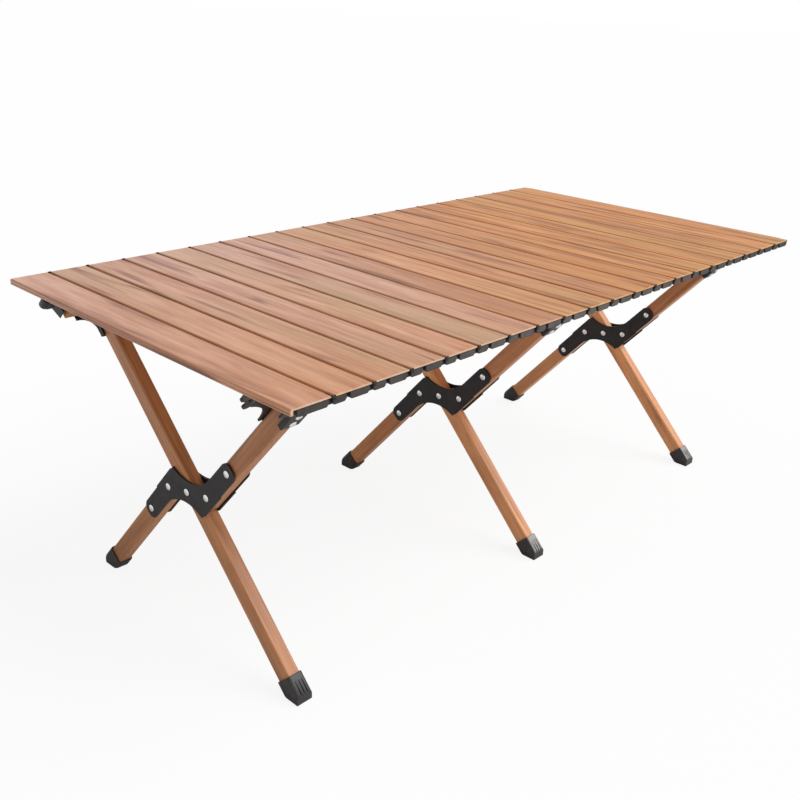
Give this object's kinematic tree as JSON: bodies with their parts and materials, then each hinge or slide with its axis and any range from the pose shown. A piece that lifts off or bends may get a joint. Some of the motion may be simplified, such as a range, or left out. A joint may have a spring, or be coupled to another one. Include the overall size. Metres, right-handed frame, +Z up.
{
  "type": "roll top camp table",
  "caption": "Low folding table: a roll-up top of hinged wooden slats with black end links, carried by crossed wooden leg pairs with black pivot brackets, feet and folding rails.",
  "frame": {"origin": "on the floor, under the middle of the table top", "axes": "+X along the length of the table, +Y from its front to its back, +Z up"},
  "size_m": [1.1964, 0.603, 0.465],
  "materials": {
    "slat_wood": "satin",
    "leg_wood": "satin",
    "rail_wood": "satin",
    "black_metal": "matte",
    "black_plastic": "matte",
    "steel": "satin"
  },
  "bodies": {
    "left_long": {"long_leg_left": "leg_wood", "front_foot_left": "black_plastic", "back_top_bracket_left": "black_metal", "back_rail_end_left": "rail_wood"},
    "left_short": {"upper_leg_left": "leg_wood", "lower_leg_left": "leg_wood", "back_foot_left": "black_plastic", "cross_bracket_left": "black_metal", "cross_rivets_left": "steel", "front_top_bracket_left": "black_metal", "front_rail_end_left": "black_plastic"},
    "mid_long": {"long_leg_mid": "leg_wood", "front_foot_mid": "black_plastic", "back_top_bracket_mid": "black_metal"},
    "mid_short": {"upper_leg_mid": "leg_wood", "lower_leg_mid": "leg_wood", "back_foot_mid": "black_plastic", "cross_bracket_mid": "black_metal", "cross_rivets_mid": "steel", "front_top_bracket_mid": "black_metal"},
    "right_long": {"long_leg_right": "leg_wood", "front_foot_right": "black_plastic", "back_top_bracket_right": "black_metal", "back_rail_end_right": "rail_wood"},
    "right_short": {"upper_leg_right": "leg_wood", "lower_leg_right": "leg_wood", "back_foot_right": "black_plastic", "cross_bracket_right": "black_metal", "cross_rivets_right": "steel", "front_top_bracket_right": "black_metal", "front_rail_end_right": "black_plastic"},
    "back_left_inner": {"back_rail_left_inner": "rail_wood"},
    "back_left_outer": {"back_rail_left_outer": "rail_wood"},
    "back_right_inner": {"back_rail_right_inner": "rail_wood"},
    "back_right_outer": {"back_rail_right_outer": "rail_wood"},
    "front_left_inner": {"front_rail_left_inner": "rail_wood"},
    "front_left_outer": {"front_rail_left_outer": "rail_wood"},
    "front_right_inner": {"front_rail_right_inner": "rail_wood"},
    "front_right_outer": {"front_rail_right_outer": "rail_wood"},
    "slat_01": {"slat_01": "slat_wood"},
    "slat_02": {"slat_02": "slat_wood"},
    "slat_03": {"slat_03": "slat_wood"},
    "slat_04": {"slat_04": "slat_wood"},
    "slat_05": {"slat_05": "slat_wood"},
    "slat_06": {"slat_06": "slat_wood"},
    "slat_07": {"slat_07": "slat_wood"},
    "slat_08": {"slat_08": "slat_wood"},
    "slat_09": {"slat_09": "slat_wood"},
    "slat_10": {"slat_10": "slat_wood"},
    "slat_11": {"slat_11": "slat_wood"},
    "slat_12": {"slat_12": "slat_wood"},
    "slat_13": {"slat_13": "slat_wood"},
    "slat_14": {"slat_14": "slat_wood"},
    "slat_15": {"slat_15": "slat_wood"},
    "slat_16": {"slat_16": "slat_wood"},
    "slat_17": {"slat_17": "slat_wood"},
    "slat_18": {"slat_18": "slat_wood"},
    "slat_19": {"slat_19": "slat_wood"},
    "slat_20": {"slat_20": "slat_wood"}
  },
  "joints": [
    {"name": "top_lift", "type": "slide", "parent": "mid_long", "child": "slat_01", "axis": [0, 0, 1], "range_m": [0, 0.43]},
    {"name": "fold_mid", "type": "hinge", "parent": "mid_long", "child": "mid_short", "pos_m": [0, 0, 0.223], "axis": [-1, 0, 0], "range_deg": [0, 82.01]},
    {"name": "back_left_near_pin", "type": "hinge", "parent": "mid_long", "child": "back_left_inner", "pos_m": [-0.026, 0.21103, 0.437], "axis": [0, -0.712, 0.7022], "range_deg": [0, 86.01]},
    {"name": "back_left_knuckle", "type": "hinge", "parent": "back_left_inner", "child": "back_left_outer", "pos_m": [-0.2565, 0.21103, 0.437], "axis": [0, -0.712, 0.7022], "range_deg": [-172.01, 0]},
    {"name": "back_left_far_pin", "type": "hinge", "parent": "back_left_outer", "child": "left_long", "pos_m": [-0.487, 0.21103, 0.437], "axis": [0, -0.712, 0.7022], "range_deg": [0, 86.01]},
    {"name": "fold_left", "type": "hinge", "parent": "left_long", "child": "left_short", "pos_m": [-0.513, 0, 0.223], "axis": [-1, 0, 0], "range_deg": [0, 82.01]},
    {"name": "front_left_near_pin", "type": "hinge", "parent": "mid_short", "child": "front_left_inner", "pos_m": [-0.026, -0.22291, 0.437], "axis": [0, -0.7536, -0.6574], "range_deg": [0, 86.01]},
    {"name": "front_left_knuckle", "type": "hinge", "parent": "front_left_inner", "child": "front_left_outer", "pos_m": [-0.2565, -0.22291, 0.437], "axis": [0, -0.7536, -0.6574], "range_deg": [-172.01, 0]},
    {"name": "back_right_near_pin", "type": "hinge", "parent": "mid_long", "child": "back_right_inner", "pos_m": [0.026, 0.21103, 0.437], "axis": [0, -0.712, 0.7022], "range_deg": [-86.01, 0]},
    {"name": "back_right_knuckle", "type": "hinge", "parent": "back_right_inner", "child": "back_right_outer", "pos_m": [0.2565, 0.21103, 0.437], "axis": [0, -0.712, 0.7022], "range_deg": [0, 172.01]},
    {"name": "back_right_far_pin", "type": "hinge", "parent": "back_right_outer", "child": "right_long", "pos_m": [0.487, 0.21103, 0.437], "axis": [0, -0.712, 0.7022], "range_deg": [-86.01, 0]},
    {"name": "fold_right", "type": "hinge", "parent": "right_long", "child": "right_short", "pos_m": [0.513, 0, 0.223], "axis": [-1, 0, 0], "range_deg": [0, 82.01]},
    {"name": "front_right_near_pin", "type": "hinge", "parent": "mid_short", "child": "front_right_inner", "pos_m": [0.026, -0.22291, 0.437], "axis": [0, -0.7536, -0.6574], "range_deg": [-86.01, 0]},
    {"name": "front_right_knuckle", "type": "hinge", "parent": "front_right_inner", "child": "front_right_outer", "pos_m": [0.2565, -0.22291, 0.437], "axis": [0, -0.7536, -0.6574], "range_deg": [0, 172.01]},
    {"name": "roll_01", "type": "hinge", "parent": "slat_01", "child": "slat_02", "pos_m": [-0.54, 0, 0.45775], "axis": [0, -1, 0], "range_deg": [0, 17]},
    {"name": "roll_02", "type": "hinge", "parent": "slat_02", "child": "slat_03", "pos_m": [-0.48, 0, 0.45775], "axis": [0, -1, 0], "range_deg": [0, 17.01]},
    {"name": "roll_03", "type": "hinge", "parent": "slat_03", "child": "slat_04", "pos_m": [-0.42, 0, 0.45775], "axis": [0, -1, 0], "range_deg": [0, 17.01]},
    {"name": "roll_04", "type": "hinge", "parent": "slat_04", "child": "slat_05", "pos_m": [-0.36, 0, 0.45775], "axis": [0, -1, 0], "range_deg": [0, 17.01]},
    {"name": "roll_05", "type": "hinge", "parent": "slat_05", "child": "slat_06", "pos_m": [-0.3, 0, 0.45775], "axis": [0, -1, 0], "range_deg": [0, 17.01]},
    {"name": "roll_06", "type": "hinge", "parent": "slat_06", "child": "slat_07", "pos_m": [-0.24, 0, 0.45775], "axis": [0, -1, 0], "range_deg": [0, 17.01]},
    {"name": "roll_07", "type": "hinge", "parent": "slat_07", "child": "slat_08", "pos_m": [-0.18, 0, 0.45775], "axis": [0, -1, 0], "range_deg": [0, 17.01]},
    {"name": "roll_08", "type": "hinge", "parent": "slat_08", "child": "slat_09", "pos_m": [-0.12, 0, 0.45775], "axis": [0, -1, 0], "range_deg": [0, 17.01]},
    {"name": "roll_09", "type": "hinge", "parent": "slat_09", "child": "slat_10", "pos_m": [-0.06, 0, 0.45775], "axis": [0, -1, 0], "range_deg": [0, 17.01]},
    {"name": "roll_10", "type": "hinge", "parent": "slat_10", "child": "slat_11", "pos_m": [0, 0, 0.45775], "axis": [0, -1, 0], "range_deg": [0, 17.01]},
    {"name": "roll_11", "type": "hinge", "parent": "slat_11", "child": "slat_12", "pos_m": [0.06, 0, 0.45775], "axis": [0, -1, 0], "range_deg": [0, 17.01]},
    {"name": "roll_12", "type": "hinge", "parent": "slat_12", "child": "slat_13", "pos_m": [0.12, 0, 0.45775], "axis": [0, -1, 0], "range_deg": [0, 17.01]},
    {"name": "roll_13", "type": "hinge", "parent": "slat_13", "child": "slat_14", "pos_m": [0.18, 0, 0.45775], "axis": [0, -1, 0], "range_deg": [0, 17.01]},
    {"name": "roll_14", "type": "hinge", "parent": "slat_14", "child": "slat_15", "pos_m": [0.24, 0, 0.45775], "axis": [0, -1, 0], "range_deg": [0, 17.01]},
    {"name": "roll_15", "type": "hinge", "parent": "slat_15", "child": "slat_16", "pos_m": [0.3, 0, 0.45775], "axis": [0, -1, 0], "range_deg": [0, 17.01]},
    {"name": "roll_16", "type": "hinge", "parent": "slat_16", "child": "slat_17", "pos_m": [0.36, 0, 0.45775], "axis": [0, -1, 0], "range_deg": [0, 17.01]},
    {"name": "roll_17", "type": "hinge", "parent": "slat_17", "child": "slat_18", "pos_m": [0.42, 0, 0.45775], "axis": [0, -1, 0], "range_deg": [0, 17.01]},
    {"name": "roll_18", "type": "hinge", "parent": "slat_18", "child": "slat_19", "pos_m": [0.48, 0, 0.45775], "axis": [0, -1, 0], "range_deg": [0, 17.01]},
    {"name": "roll_19", "type": "hinge", "parent": "slat_19", "child": "slat_20", "pos_m": [0.54, 0, 0.45775], "axis": [0, -1, 0], "range_deg": [0, 17.01]}
  ],
  "couplings": [
    {"joint": "fold_mid", "follows": "top_lift", "rad_per_m": 3.3283},
    {"joint": "back_left_near_pin", "follows": "top_lift", "rad_per_m": 3.4907},
    {"joint": "back_left_knuckle", "follows": "top_lift", "rad_per_m": -6.9813},
    {"joint": "back_left_far_pin", "follows": "top_lift", "rad_per_m": 3.4907},
    {"joint": "fold_left", "follows": "top_lift", "rad_per_m": 3.3283},
    {"joint": "front_left_near_pin", "follows": "top_lift", "rad_per_m": 3.4907},
    {"joint": "front_left_knuckle", "follows": "top_lift", "rad_per_m": -6.9813},
    {"joint": "back_right_near_pin", "follows": "top_lift", "rad_per_m": -3.4907},
    {"joint": "back_right_knuckle", "follows": "top_lift", "rad_per_m": 6.9813},
    {"joint": "back_right_far_pin", "follows": "top_lift", "rad_per_m": -3.4907},
    {"joint": "fold_right", "follows": "top_lift", "rad_per_m": 3.3283},
    {"joint": "front_right_near_pin", "follows": "top_lift", "rad_per_m": -3.4907},
    {"joint": "front_right_knuckle", "follows": "top_lift", "rad_per_m": 6.9813},
    {"joint": "roll_02", "follows": "roll_01", "ratio": 1},
    {"joint": "roll_03", "follows": "roll_01", "ratio": 1},
    {"joint": "roll_04", "follows": "roll_01", "ratio": 1},
    {"joint": "roll_05", "follows": "roll_01", "ratio": 1},
    {"joint": "roll_06", "follows": "roll_01", "ratio": 1},
    {"joint": "roll_07", "follows": "roll_01", "ratio": 1},
    {"joint": "roll_08", "follows": "roll_01", "ratio": 1},
    {"joint": "roll_09", "follows": "roll_01", "ratio": 1},
    {"joint": "roll_10", "follows": "roll_01", "ratio": 1},
    {"joint": "roll_11", "follows": "roll_01", "ratio": 1},
    {"joint": "roll_12", "follows": "roll_01", "ratio": 1},
    {"joint": "roll_13", "follows": "roll_01", "ratio": 1},
    {"joint": "roll_14", "follows": "roll_01", "ratio": 1},
    {"joint": "roll_15", "follows": "roll_01", "ratio": 1},
    {"joint": "roll_16", "follows": "roll_01", "ratio": 1},
    {"joint": "roll_17", "follows": "roll_01", "ratio": 1},
    {"joint": "roll_18", "follows": "roll_01", "ratio": 1},
    {"joint": "roll_19", "follows": "roll_01", "ratio": 1}
  ]
}
